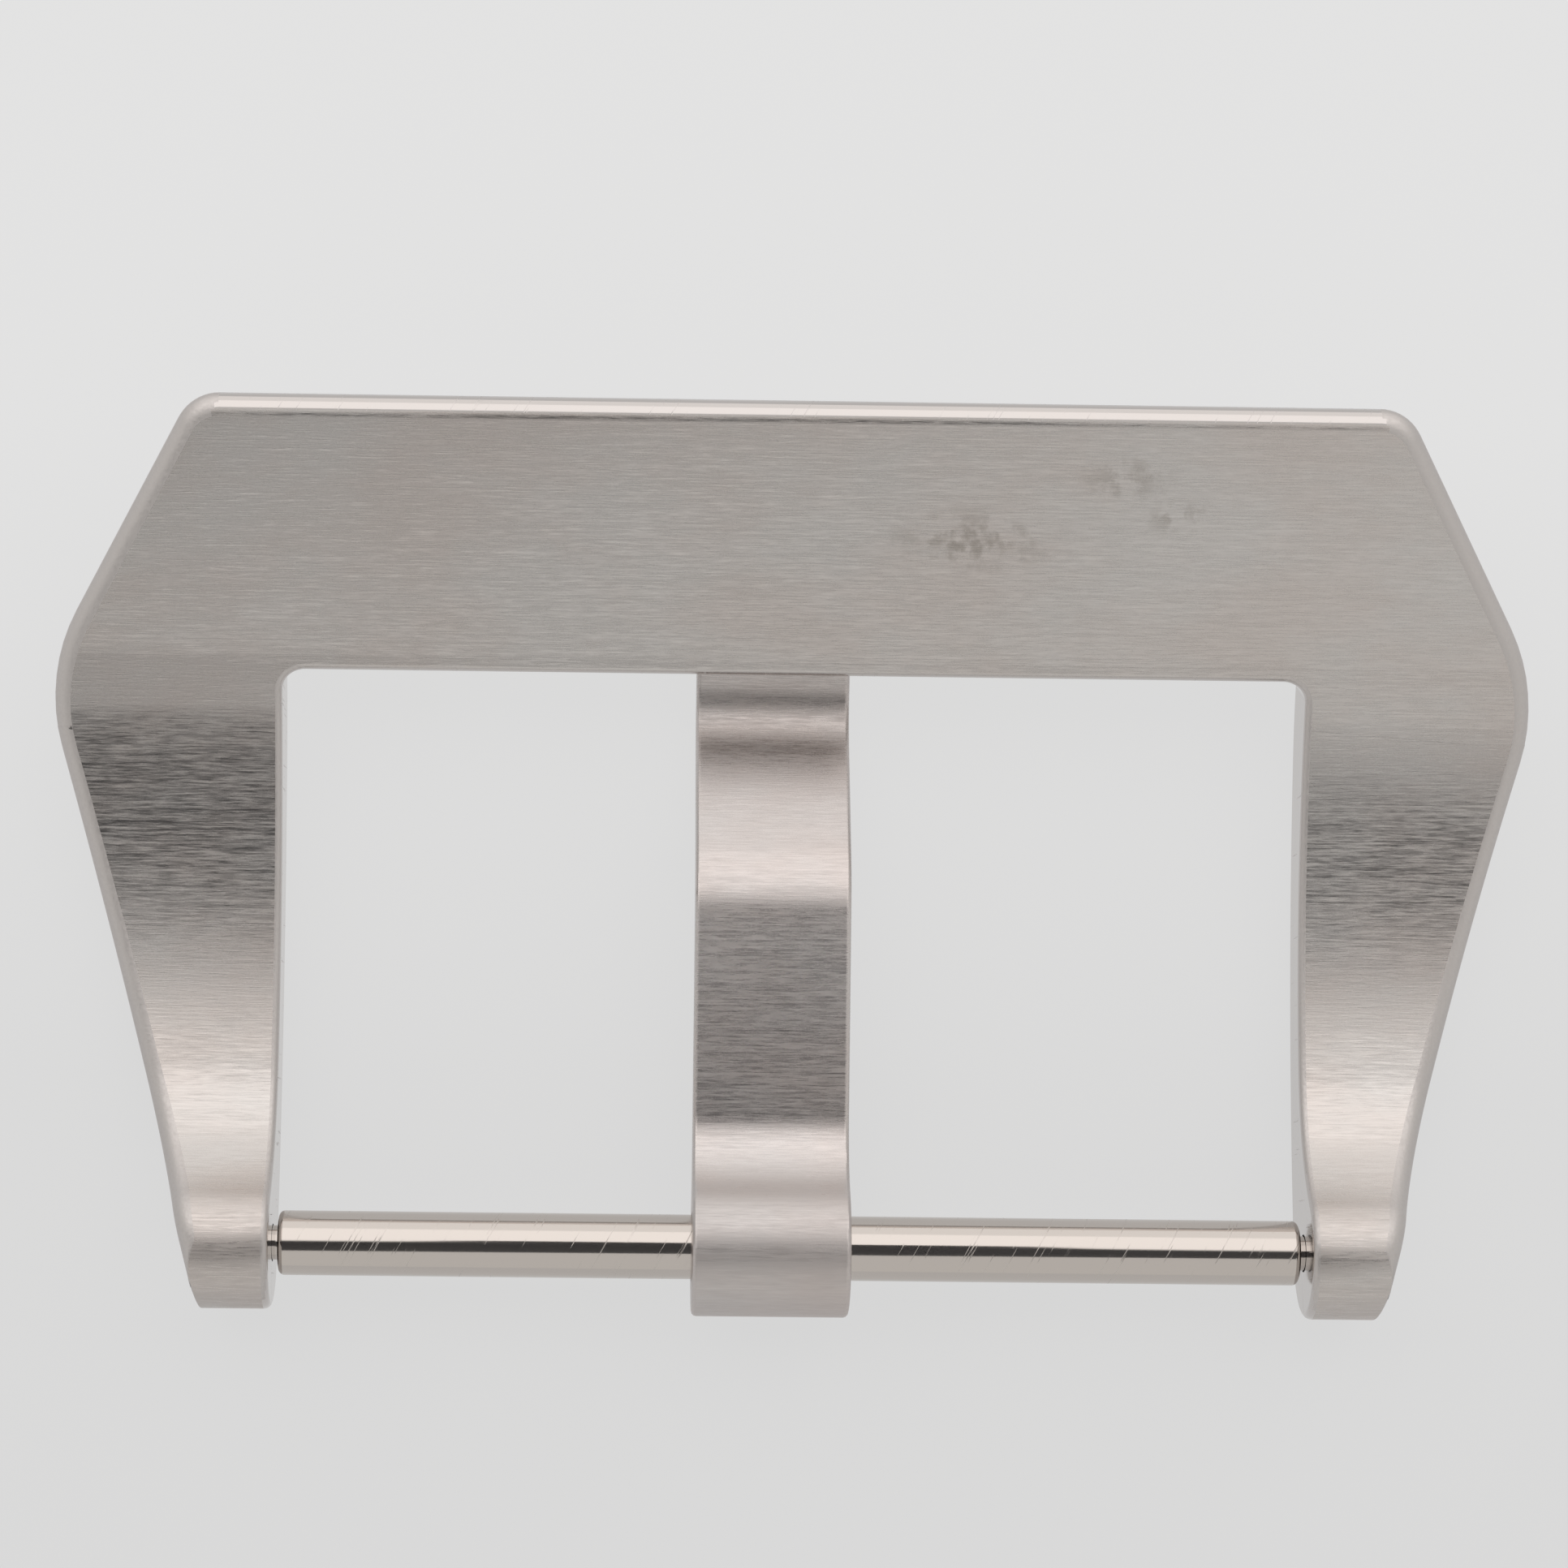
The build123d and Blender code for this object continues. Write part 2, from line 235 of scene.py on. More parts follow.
def frame_side_view(sizes):
    """Heights of the frame's two faces at any distance from the spring bar, and where each face bends."""
    nose = sizes.nose_radius
    pitch = sizes.bar_pitch
    outer_height = sqrt((sizes.outer_radius - nose) ** 2 - sizes.outer_low_reach**2)
    outer_centre = Vector((sizes.outer_low_reach, outer_height))

    def outer_curve(reach):
        """Height of the outer curve."""
        return outer_centre.y - sqrt(sizes.outer_radius**2 - (reach - outer_centre.x) ** 2)

    low_reach = sizes.hollow_low_reach
    hollow_centre = Vector((low_reach, outer_curve(low_reach) + sizes.arm_thickness + sizes.hollow_radius))
    ramp_centre = meeting_point(
        Vector((0, 0)), nose + sizes.ramp_radius, hollow_centre, sizes.hollow_radius - sizes.ramp_radius)
    ramp_foot = hollow_centre + (ramp_centre - hollow_centre).normalized() * sizes.hollow_radius
    ramp_head = ramp_centre.normalized() * nose
    face_start = hollow_centre + Vector((sin(pitch), -cos(pitch))) * sizes.hollow_radius
    nose_under = outer_centre.normalized() * -nose
    break_height = outer_curve(sizes.outer_bar_reach)
    flat_up = Vector((-sin(pitch), cos(pitch)))
    flat_point = Vector((sizes.outer_bar_reach, break_height))
    lifted = flat_point + flat_up * sizes.outer_bar_round - outer_centre
    flat_along = Vector((cos(pitch), sin(pitch)))
    middle = lifted.dot(flat_along)
    inner_radius = sizes.outer_radius - sizes.outer_bar_round
    back = middle + sqrt(middle**2 - lifted.length_squared + inner_radius**2)
    soft_centre = outer_centre + lifted - flat_along * back
    soft_start = outer_centre + (soft_centre - outer_centre).normalized() * sizes.outer_radius
    soft_end = soft_centre - flat_up * sizes.outer_bar_round

    def top(reach):
        """Height of the face towards the wrist."""
        if reach <= ramp_head.x:
            return sqrt(max(nose**2 - reach**2, 0))
        if reach <= ramp_foot.x:
            return ramp_centre.y - sqrt(sizes.ramp_radius**2 - (reach - ramp_centre.x) ** 2)
        if reach <= face_start.x:
            return hollow_centre.y - sqrt(sizes.hollow_radius**2 - (reach - hollow_centre.x) ** 2)
        return face_start.y + (reach - face_start.x) * tan(pitch)

    def bottom(reach):
        """Height of the face that is seen when worn."""
        if reach <= nose_under.x:
            return -sqrt(max(nose**2 - reach**2, 0))
        if reach <= soft_start.x:
            return outer_curve(reach)
        if reach <= soft_end.x:
            return soft_centre.y - sqrt(sizes.outer_bar_round**2 - (reach - soft_centre.x) ** 2)
        return break_height + (reach - sizes.outer_bar_reach) * tan(pitch)

    top_bends = [ramp_head.x, ramp_foot.x, face_start.x]
    bottom_bends = [nose_under.x, ramp_foot.x, soft_start.x, soft_end.x]
    return top, bottom, top_bends, bottom_bends


def stepped(start, end, step):
    """Numbers from start to just before end, at most a step apart."""
    count = max(1, round((end - start) / step))
    return [start + (end - start) * turn / count for turn in range(count)]


def rounded_ring(mesh, corners, rounds, axis):
    """Points joined to a closed ring round the axis, with an arc of its own radius at each corner."""
    ends = []
    ring_edges = []
    for place, (corner, radius) in enumerate(zip(corners, rounds)):
        before = (corners[place - 1] - corner).normalized()
        after = (corners[(place + 1) % len(corners)] - corner).normalized()
        if not radius:
            point = mesh.verts.new(corner)
            ends.append((point, point))
            continue
        turn = pi - before.angle(after)
        start = mesh.verts.new(corner + before * radius * tan(turn / 2))
        centre = corner + (before + after).normalized() * radius / cos(turn / 2)
        way = 1 if axis.dot((-before).cross(after)) > 0 else -1
        known = set(mesh.edges)
        steps = max(2, round(turn / ARC_STEP))
        arc = bmesh.ops.spin(mesh, geom=[start], cent=centre, axis=axis, angle=way * turn, steps=steps)
        ring_edges += [edge for edge in mesh.edges if edge not in known]
        ends.append((start, arc["geom_last"][0]))
    for place, (_, leaving) in enumerate(ends):
        ring_edges.append(mesh.edges.new((leaving, ends[(place + 1) % len(ends)][0])))
    return ring_edges


def rims(mesh):
    """Edges where two faces meet sharply."""
    return [edge for edge in mesh.edges if edge.is_manifold and edge.calc_face_angle() > SHARP_TURN]


def soften(mesh, radius_of, steps):
    """Rounds each rim with the radius that radius_of gives it.

    A bevel of profile 0.5 is round only between faces that stand square. At other angles its middle is
    brought to where a round rim has its own.
    """
    cuts = {}
    for edge in rims(mesh):
        half_turn = edge.calc_face_angle() / 2
        cuts[edge.index] = radius_of(edge) * tan(half_turn) / (2 - sqrt(2)) / (1 + cos(half_turn))
    widest = max(cuts.values())
    plain = bpy.data.meshes.new("rounding")
    mesh.to_mesh(plain)
    weights = plain.attributes.new("bevel_weight_edge", "FLOAT", "EDGE")
    for index, cut in cuts.items():
        weights.data[index].value = cut / widest
    carrier = bpy.data.objects.new("rounding", plain)
    bpy.context.scene.collection.objects.link(carrier)
    rounding = carrier.modifiers.new("Rounding", "BEVEL")
    rounding.limit_method = "WEIGHT"
    rounding.width = widest
    rounding.segments = steps
    rounding.profile = 0.5
    rounding.use_clamp_overlap = False
    rounding.loop_slide = False
    finished = bpy.data.meshes.new_from_object(carrier.evaluated_get(bpy.context.evaluated_depsgraph_get()))
    mesh.clear()
    mesh.from_mesh(finished)
    bpy.data.objects.remove(carrier)
    bpy.data.meshes.remove(plain)
    bpy.data.meshes.remove(finished)


def open_hole(mesh, face, centre, radius, steps):
    """Opens a round hole in a flat face, which two faces then surround, and returns the hole's edges."""
    across = face.normal.to_track_quat("Z", "Y").to_matrix().to_4x4()
    placed = Matrix.Translation(centre) @ across
    circle = bmesh.ops.create_circle(mesh, segments=steps, radius=radius, matrix=placed)
    hole = circle["verts"]
    border = list(face.verts)
    bmesh.ops.delete(mesh, geom=[face], context="FACES_ONLY")
    opposite = steps // 2
    ends = (hole[0], hole[opposite])
    nearest = [min(border, key=lambda other: (other.co - point.co).length) for point in ends]
    links = [mesh.edges.new(pair) for pair in zip(nearest, ends)]
    first = border.index(nearest[0])
    border = border[first:] + border[:first]
    split = border.index(nearest[1])

    def edges_along(path):
        """Edges between the points of a path."""
        return [mesh.edges.get(pair) for pair in zip(path, path[1:])]

    outer_paths = (border[:split + 1], border[split:] + border[:1])
    inner_paths = (hole[:opposite + 1], hole[opposite:] + hole[:1])
    for outer, inner in zip(outer_paths, inner_paths):
        bmesh.ops.contextual_create(mesh, geom=edges_along(outer) + edges_along(inner) + links)
    return edges_along(hole + hole[:1])


def flat_side(mesh, place, limit):
    """The wall that stands square to X at that place, cut off at a distance from the spring bar."""
    walls = [
        face for face in mesh.faces
        if abs(face.normal.x) > 1 - TOUCHING and abs(face.calc_center_median().x - place) < TOUCHING]
    wall = max(walls, key=lambda face: face.calc_area())
    parts = [wall, *wall.edges, *wall.verts]
    cut = bmesh.ops.bisect_plane(mesh, geom=parts, dist=TOUCHING, plane_co=(0, limit, 0), plane_no=(0, 1, 0))
    halves = [part for part in cut["geom"] if isinstance(part, bmesh.types.BMFace)]
    return min(halves, key=lambda face: face.calc_center_median().y)


def finish_piece(name, mesh, body, nodes, material):
    """Brings a mesh to its real size and makes it a piece that stands for CAD nodes."""
    bmesh.ops.scale(mesh, vec=(MM, MM, MM), verts=mesh.verts)
    bmesh.ops.recalc_face_normals(mesh, faces=mesh.faces)
    for face in mesh.faces:
        face.smooth = True
    for edge in mesh.edges:
        edge.smooth = edge.calc_face_angle(0) < SHARP_TURN
    data = bpy.data.meshes.new(name)
    mesh.to_mesh(data)
    mesh.free()
    piece = bpy.data.objects.new(name, data)
    bpy.context.scene.collection.objects.link(piece)
    even = piece.modifiers.new("Even shading", "WEIGHTED_NORMAL")
    even.mode = "FACE_AREA"
    even.weight = 50
    even.keep_sharp = True
    data.materials.append(material)
    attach(piece, body)
    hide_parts(*nodes)
    return piece


def cut_across(mesh, way, reaches):
    """Cuts the faces that look up or down along lines at these distances from the spring bar."""
    for reach in reaches:
        mesh.normal_update()
        faces = [face for face in mesh.faces if face.normal.z * way > 1 - TOUCHING]
        parts = {part for face in faces for part in (face, *face.edges, *face.verts)}
        bmesh.ops.bisect_plane(
            mesh, geom=list(parts), dist=TOUCHING, plane_co=(0, reach, 0), plane_no=(0, 1, 0))


def model_frame(sizes):
    """The frame: its plan outline, bent to its side view, with soft rims and two blind holes."""
    inner_half = sizes.strap_width / 2
    nose = sizes.nose_radius
    top, bottom, top_bends, bottom_bends = frame_side_view(sizes)
    half_outline = [
        (inner_half + sizes.nose_width, -nose, 0),
        (sizes.widest_width / 2, sizes.widest_reach, sizes.widest_round),
        (sizes.far_width / 2, sizes.frame_reach, sizes.far_round),
    ]
    half_window = [(inner_half, sizes.window_reach, sizes.window_round), (inner_half, -nose, 0)]
    outline = [*half_outline, *((-x, y, r) for x, y, r in reversed(half_outline))]
    outline += [*((-x, y, r) for x, y, r in reversed(half_window)), *half_window]
    mesh = bmesh.new()
    up = Vector((0, 0, 1))
    ring = rounded_ring(mesh, [Vector((x, y, 0)) for x, y, _ in outline], [r for *_, r in outline], up)
    plan = bmesh.ops.contextual_create(mesh, geom=ring)["faces"]
    raised = bmesh.ops.extrude_face_region(mesh, geom=plan)["geom"]
    upper = {part for part in raised if isinstance(part, bmesh.types.BMVert)}
    bmesh.ops.translate(mesh, vec=up, verts=list(upper))
    bmesh.ops.recalc_face_normals(mesh, faces=mesh.faces)

    # The window's far wall stands square to the wide bar's pitched face.
    wall_start = sizes.window_reach - sizes.window_round
    edge_height = top(sizes.window_reach)
    far_wall = {True: sizes.window_reach, False: sizes.window_reach}
    for point in mesh.verts:
        if abs(point.co.x) < inner_half + TOUCHING and point.co.y > wall_start - TOUCHING:
            reach = point.co.y
            height = top if point in upper else bottom
            for _ in range(SETTLING_ROUNDS):
                point.co.y = reach + (edge_height - height(point.co.y)) * tan(sizes.bar_pitch)
            far_wall[point in upper] = max(far_wall[point in upper], point.co.y)

    nose_cuts = [-nose * cos(turn) for turn in stepped(ARC_STEP, pi / 2, ARC_STEP)]
    for is_top, bends in ((True, top_bends), (False, bottom_bends)):
        fine_cuts = stepped(0, bends[1], FINE_STEP)
        coarse_cuts = stepped(bends[1], bends[-1], COARSE_STEP)
        reaches = nose_cuts + fine_cuts + coarse_cuts + bends
        far_start, far_end = far_wall[is_top] - sizes.window_round, far_wall[is_top] + sizes.window_edge_round
        clear = [reach for reach in reaches if not far_start < reach < far_end]
        cut_across(mesh, 1 if is_top else -1, clear)
    for point in mesh.verts:
        point.co.z = top(point.co.y) if point.co.z > up.z / 2 else bottom(point.co.y)
    bmesh.ops.remove_doubles(mesh, verts=mesh.verts, dist=TOUCHING)
    bmesh.ops.recalc_face_normals(mesh, faces=mesh.faces)
    mesh.edges.index_update()

    def radius_of(edge):
        """Soft outer rims that run out over the noses, and crisp ones round the window."""
        middle = (edge.verts[0].co + edge.verts[1].co) / 2
        if abs(middle.x) < inner_half + TOUCHING and middle.y < sizes.frame_reach - sizes.far_round:
            return sizes.window_edge_round
        if middle.y > 0:
            return sizes.rim_round
        above = min(max(1 - (nose - abs(middle.z)) / sizes.rim_round, 0), 1)
        return sizes.rim_round * max(1 - sqrt(1 - above**2), CRISP_SHARE)

    soften(mesh, radius_of, RIM_STEPS)
    for side in (1, -1):
        wall = flat_side(mesh, side * inner_half, nose)
        rim = open_hole(mesh, wall, Vector((side * inner_half, 0, 0)), sizes.hole_radius, HOLE_STEPS)
        deep = bmesh.ops.extrude_edge_only(mesh, edges=rim)["geom"]
        floor = [part for part in deep if isinstance(part, bmesh.types.BMVert)]
        bmesh.ops.translate(mesh, vec=AXIS_X * side * sizes.hole_depth, verts=floor)
        bmesh.ops.contextual_create(mesh, geom=floor)
    return mesh


def tang_outline(frame_sizes, sizes):
    """Corners and radii of the tang's side view, from the knuckle's upper round to its lower one."""
    pitch = frame_sizes.bar_pitch
    thick = sizes.thickness
    shank = Vector((cos(sizes.shank_pitch), sin(sizes.shank_pitch)))
    tip = Vector((cos(pitch), sin(pitch)))
    nose = frame_sizes.nose_radius
    outer_reach = frame_sizes.outer_bar_reach
    outer_height = sqrt((frame_sizes.outer_radius - nose) ** 2 - frame_sizes.outer_low_reach**2)
    past_low = outer_reach - frame_sizes.outer_low_reach
    break_height = outer_height - sqrt(frame_sizes.outer_radius**2 - past_low**2)
    heel_reach = frame_sizes.window_reach - sizes.heel_gap
    heel_height = break_height - sizes.tip_gap / cos(pitch) + (heel_reach - outer_reach) * tan(pitch)
    upper_heel = Vector((heel_reach, heel_height))

    def crossing(point_a, way_a, point_b, way_b):
        """Point where two lines meet, each given by a point and its way."""
        apart = point_b - point_a
        aside = apart.x * way_b.y - apart.y * way_b.x
        return point_a + way_a * aside / (way_a.x * way_b.y - way_a.y * way_b.x)

    def below(point, way):
        """Point on the strip's lower face, square under a point of its upper one."""
        return point + Vector((way.y, -way.x)) * thick

    upper_start = Vector((0, sizes.shank_height))
    upper_crest = upper_start + shank * (heel_reach - sizes.crest_gap) / shank.x
    drop = (upper_heel - upper_crest).normalized()
    lower_crest = crossing(below(upper_start, shank), shank, below(upper_heel, drop), drop)
    lower_heel = crossing(below(upper_heel, drop), drop, below(upper_heel, tip), tip)
    heel_middle = (upper_heel + below(upper_heel, tip)) / 2
    tip_middle = heel_middle + tip * (sizes.tip_reach - heel_middle.x) / tip.x
    upper_tip = tip_middle - Vector((tip.y, -tip.x)) * thick / 2
    lower_tip = below(upper_tip, tip)
    return upper_start, shank, upper_crest, lower_crest, upper_heel, lower_heel, upper_tip, lower_tip


def model_tang(frame_sizes, sizes):
    """The tang: its side view drawn out to its width, with a bored knuckle, a rounded tip and soft edges."""
    start, shank, upper_crest, lower_crest, upper_heel, lower_heel, upper_tip, lower_tip = tang_outline(
        frame_sizes, sizes)
    knuckle = sizes.knuckle_radius
    side = Vector((-shank.y, shank.x))
    upper_line = start.dot(side)
    lower_line = upper_line - sizes.thickness

    def knuckle_round(line, radius, way):
        """Centre of the round between the knuckle and one face of the shank."""
        height = line + way * radius
        return shank * sqrt((knuckle + radius) ** 2 - height**2) + side * height

    upper_centre = knuckle_round(upper_line, sizes.knuckle_top_round, 1)
    lower_centre = knuckle_round(lower_line, sizes.knuckle_under_round, -1)
    left = -sizes.shift - sizes.width / 2
    mesh = bmesh.new()

    def standing(point):
        """A point of the side view, brought to the tang's left side."""
        return Vector((left, point.x, point.y))

    def arc(first, centre, turn):
        """Edges of an arc from a point, and the point where it ends."""
        known = set(mesh.edges)
        steps = max(2, round(abs(turn) / ARC_STEP))
        drawn = bmesh.ops.spin(
            mesh, geom=[first], cent=standing(centre), axis=AXIS_X, angle=turn, steps=steps)
        return [edge for edge in mesh.edges if edge not in known], drawn["geom_last"][0]

    def bend_round(first, corner, after, radius):
        """Straight edge from a point to a corner, and the arc round it towards the next corner."""
        into = (Vector((first.co.y, first.co.z)) - corner).normalized()
        out = (after - corner).normalized()
        turn = pi - into.angle(out)
        begin = mesh.verts.new(standing(corner + into * radius * tan(turn / 2)))
        centre = corner + (into + out).normalized() * radius / cos(turn / 2)
        way = 1 if (-into).cross(out) > 0 else -1
        edges, last = arc(begin, centre, way * turn)
        return [mesh.edges.new((first, begin)), *edges], last

    upper_meet = upper_centre.normalized() * knuckle
    lower_meet = lower_centre.normalized() * knuckle
    outline = []
    point = mesh.verts.new(standing(lower_meet))
    first = point
    around = -(2 * pi - (atan2(upper_meet.y, upper_meet.x) - atan2(lower_meet.y, lower_meet.x)))
    edges, point = arc(point, Vector((0, 0)), around)
    outline += edges
    upper_turn = pi / 2 - (atan2(upper_centre.y, upper_centre.x) - atan2(shank.y, shank.x))
    edges, point = arc(point, upper_centre, upper_turn)
    outline += edges
    thick = sizes.thickness
    edges, point = bend_round(point, upper_crest, upper_heel, sizes.crest_round)
    outline += edges
    edges, point = bend_round(point, upper_heel, upper_tip, sizes.heel_round)
    outline += edges
    for corner in (upper_tip, lower_tip):
        following = mesh.verts.new(standing(corner))
        outline.append(mesh.edges.new((point, following)))
        point = following
    edges, point = bend_round(point, lower_heel, lower_crest, sizes.heel_round + thick)
    outline += edges
    shank_foot = lower_centre + side * sizes.knuckle_under_round
    edges, point = bend_round(point, lower_crest, shank_foot, sizes.crest_round - thick)
    outline += edges
    foot = mesh.verts.new(standing(shank_foot))
    outline.append(mesh.edges.new((point, foot)))
    lower_turn = pi / 2 + (atan2(lower_centre.y, lower_centre.x) - atan2(shank.y, shank.x))
    edges, point = arc(foot, lower_centre, lower_turn)
    outline += edges
    bmesh.ops.weld_verts(mesh, targetmap={point: first})
    drawn = bmesh.ops.contextual_create(mesh, geom=[edge for edge in outline if edge.is_valid])["faces"]
    grown = bmesh.ops.extrude_face_region(mesh, geom=drawn)["geom"]
    far = [part for part in grown if isinstance(part, bmesh.types.BMVert)]
    bmesh.ops.translate(mesh, vec=AXIS_X * sizes.width, verts=far)
    bmesh.ops.recalc_face_normals(mesh, faces=mesh.faces)
    tip_middle = (upper_tip + lower_tip) / 2
    corners = [
        edge for edge in mesh.edges
        if (Vector(((edge.verts[0].co + edge.verts[1].co) / 2).yz) - tip_middle).length < TOUCHING]
    bmesh.ops.bevel(
        mesh, geom=corners, offset=sizes.tip_round, segments=TIP_STEPS, profile=0.5, affect="EDGES",
        material=-1)
    mesh.edges.index_update()
    soften(mesh, lambda edge: sizes.edge_round, EDGE_STEPS)
    rim = []
    for wall_place in (left, left + sizes.width):
        wall = flat_side(mesh, wall_place, knuckle + sizes.knuckle_under_round)
        rim += open_hole(mesh, wall, Vector((wall_place, 0, 0)), sizes.bore_radius, BORE_STEPS)
    bmesh.ops.bridge_loops(mesh, edges=rim)
    return mesh


def turned(corners, rounds, steps):
    """A piece turned on a lathe: a closed outline of reach and radius, spun round the X axis."""
    mesh = bmesh.new()
    ring = rounded_ring(mesh, [Vector((x, 0, r)) for x, r in corners], rounds, Vector((0, 1, 0)))
    parts = [*mesh.verts, *ring]
    bmesh.ops.spin(
        mesh, geom=parts, cent=(0, 0, 0), axis=AXIS_X, angle=2 * pi, steps=steps, use_merge=True)
    bmesh.ops.remove_doubles(mesh, verts=mesh.verts, dist=TOUCHING)
    bmesh.ops.delete(mesh, geom=[edge for edge in mesh.edges if edge.is_wire], context="EDGES")
    return mesh


def add_node(tree, kind, links=None, **settings):
    """Adds a node with its settings, and gives its inputs values or joins them to other nodes' outputs."""
    node = tree.nodes.new(kind)
    for key, value in settings.items():
        setattr(node, key, value)
    for key, value in (links or {}).items():
        if isinstance(value, bpy.types.NodeSocket):
            tree.links.new(value, node.inputs[key])
        else:
            node.inputs[key].default_value = value
    return node


def new_material(name):
    """An empty node material with its output."""
    material = bpy.data.materials.new(name)
    material.use_nodes = True
    material.node_tree.nodes.clear()
    return material, material.node_tree, material.node_tree.nodes.new("ShaderNodeOutputMaterial")


def stretched(tree, places, line_length, line_width):
    """Coordinates in which a round noise becomes lines along the spring bar, sized in millimetres."""
    scale = (1 / (line_length * MM), 1 / (line_width * MM), 1 / (line_width * MM))
    return add_node(tree, "ShaderNodeVectorMath", {0: places, 1: scale}, operation="MULTIPLY").outputs[0]


def mark_share(tree, places, across, reach, half_width, half_height, strength):
    """How much of a faint mottled mark shows, fading out from its middle, with places in millimetres."""
    middle = (across * MM, reach * MM, 0)
    away = add_node(tree, "ShaderNodeVectorMath", {0: places, 1: middle}, operation="SUBTRACT").outputs[0]
    scale = (1 / (half_width * MM), 1 / (half_height * MM), 0)
    spread = add_node(tree, "ShaderNodeVectorMath", {0: away, 1: scale}, operation="MULTIPLY").outputs[0]
    gap = add_node(tree, "ShaderNodeVectorMath", {0: spread}, operation="LENGTH").outputs["Value"]
    mottle = add_node(
        tree, "ShaderNodeTexNoise",
        {"Vector": places, "Scale": 1 / (BLOTCH * MM), "Detail": 3.0, "Roughness": 0.6}).outputs["Fac"]
    fading = add_node(
        tree, "ShaderNodeMapRange",
        {"Value": gap, "From Min": 0.2, "From Max": 1.0, "To Min": strength, "To Max": 0.0}).outputs[0]
    patches = add_node(
        tree, "ShaderNodeMapRange", {"Value": mottle, "From Min": 0.46, "From Max": 0.6}).outputs[0]
    return add_node(tree, "ShaderNodeMath", {0: fading, 1: patches}, operation="MULTIPLY").outputs[0]


def brushed_steel(name, base, seed, roughness, unevenness, stain=(), marks=()):
    """Stainless steel rubbed along the spring bar with an abrasive belt: fine lines that smear reflections.

    Most lines are half a millimetre long and drawn 0.032 mm wide, about twice as wide as the real ones, so
    that they show. Deeper lines scatter more light, which shows most where the steel reflects something dark.
    The rounded ends near the spring bar were rubbed by hand and are rougher. The seed moves the pattern, so
    that no two pieces have the same lines.
    """
    material, tree, output = new_material(name)
    places = add_node(tree, "ShaderNodeTexCoord").outputs["Object"]
    moved = add_node(
        tree, "ShaderNodeVectorMath", {0: places, 1: (seed, seed, seed)}, operation="ADD").outputs[0]
    patterns = []
    for pattern_size, detail, coarseness in (
            (SHORT_LINES, 3.0, 0.6), (LONG_LINES, 2.0, 0.5), (CLOUDS, 4.0, 0.6)):
        spread = stretched(tree, moved, *pattern_size)
        patterns.append(add_node(
            tree, "ShaderNodeTexNoise",
            {"Vector": spread, "Scale": 1.0, "Detail": detail, "Roughness": coarseness}).outputs["Fac"])
    short, long, cloud = patterns
    lines = add_node(tree, "ShaderNodeMix", {"Factor": 0.35, "A": short, "B": long}).outputs["Result"]
    warmth = add_node(
        tree, "ShaderNodeMapRange", {"Value": cloud, "From Min": 0.38, "From Max": 0.62}).outputs[0]
    tint = add_node(
        tree, "ShaderNodeMix", {"Factor": warmth, "A": (1.01, 1.02, 1.015, 1), "B": (1.0, 0.975, 0.955, 1)},
        data_type="RGBA")
    toned = add_node(
        tree, "ShaderNodeMix", {"Factor": 1.0, "A": (*base, 1), "B": tint.outputs["Result"]},
        data_type="RGBA", blend_type="MULTIPLY")
    for mark in marks:
        share = mark_share(tree, places, *mark)
        toned = add_node(
            tree, "ShaderNodeMix", {"Factor": share, "A": toned.outputs["Result"], "B": (*stain, 1)},
            data_type="RGBA")
    shade = add_node(
        tree, "ShaderNodeMapRange",
        {"Value": lines, "From Min": 0.3, "From Max": 0.7, "To Min": 0.96, "To Max": 1.03}).outputs[0]
    steel = add_node(
        tree, "ShaderNodeVectorMath", {0: toned.outputs["Result"], "Scale": shade}, operation="SCALE")
    relief = add_node(
        tree, "ShaderNodeBump", {"Height": lines, "Strength": 1.0, "Distance": LINE_DEPTH * MM})
    grain = add_node(tree, "ShaderNodeCombineXYZ", {"X": 1.0})
    scattered = add_node(
        tree, "ShaderNodeMapRange",
        {"Value": lines, "From Min": 0.3, "From Max": 0.7,
         "To Min": roughness + unevenness, "To Max": roughness - unevenness * 0.7}).outputs[0]
    reach = add_node(tree, "ShaderNodeSeparateXYZ", {0: places}).outputs["Y"]
    at_end = add_node(
        tree, "ShaderNodeMapRange",
        {"Value": reach, "From Min": 1.0 * MM, "From Max": 2.2 * MM, "To Min": 0.1, "To Max": 0.0}).outputs[0]
    rough = add_node(tree, "ShaderNodeMath", {0: scattered, 1: at_end}, operation="ADD").outputs[0]
    shader = add_node(
        tree, "ShaderNodeBsdfPrincipled",
        {"Base Color": steel.outputs[0], "Metallic": 1.0, "Roughness": rough, "Anisotropic": 0.8,
         "Anisotropic Rotation": 0.25, "Tangent": grain.outputs[0], "Normal": relief.outputs[0]})
    tree.links.new(shader.outputs[0], output.inputs[0])
    return material


def satin_steel(name, base):
    """Stainless steel as milled and then tumbled: matt, with a fine even speckle."""
    material, tree, output = new_material(name)
    places = add_node(tree, "ShaderNodeTexCoord").outputs["Object"]
    speckle = add_node(
        tree, "ShaderNodeTexNoise",
        {"Vector": places, "Scale": 1 / (SPECKLE * MM), "Detail": 2.0, "Roughness": 0.6}).outputs["Fac"]
    relief = add_node(
        tree, "ShaderNodeBump", {"Height": speckle, "Strength": 1.0, "Distance": SPECKLE_DEPTH * MM})
    rough = add_node(
        tree, "ShaderNodeMapRange",
        {"Value": speckle, "From Min": 0.35, "From Max": 0.65, "To Min": 0.54, "To Max": 0.42}).outputs[0]
    shader = add_node(
        tree, "ShaderNodeBsdfPrincipled",
        {"Base Color": (*base, 1), "Metallic": 1.0, "Roughness": rough, "Normal": relief.outputs[0]})
    tree.links.new(shader.outputs[0], output.inputs[0])
    return material


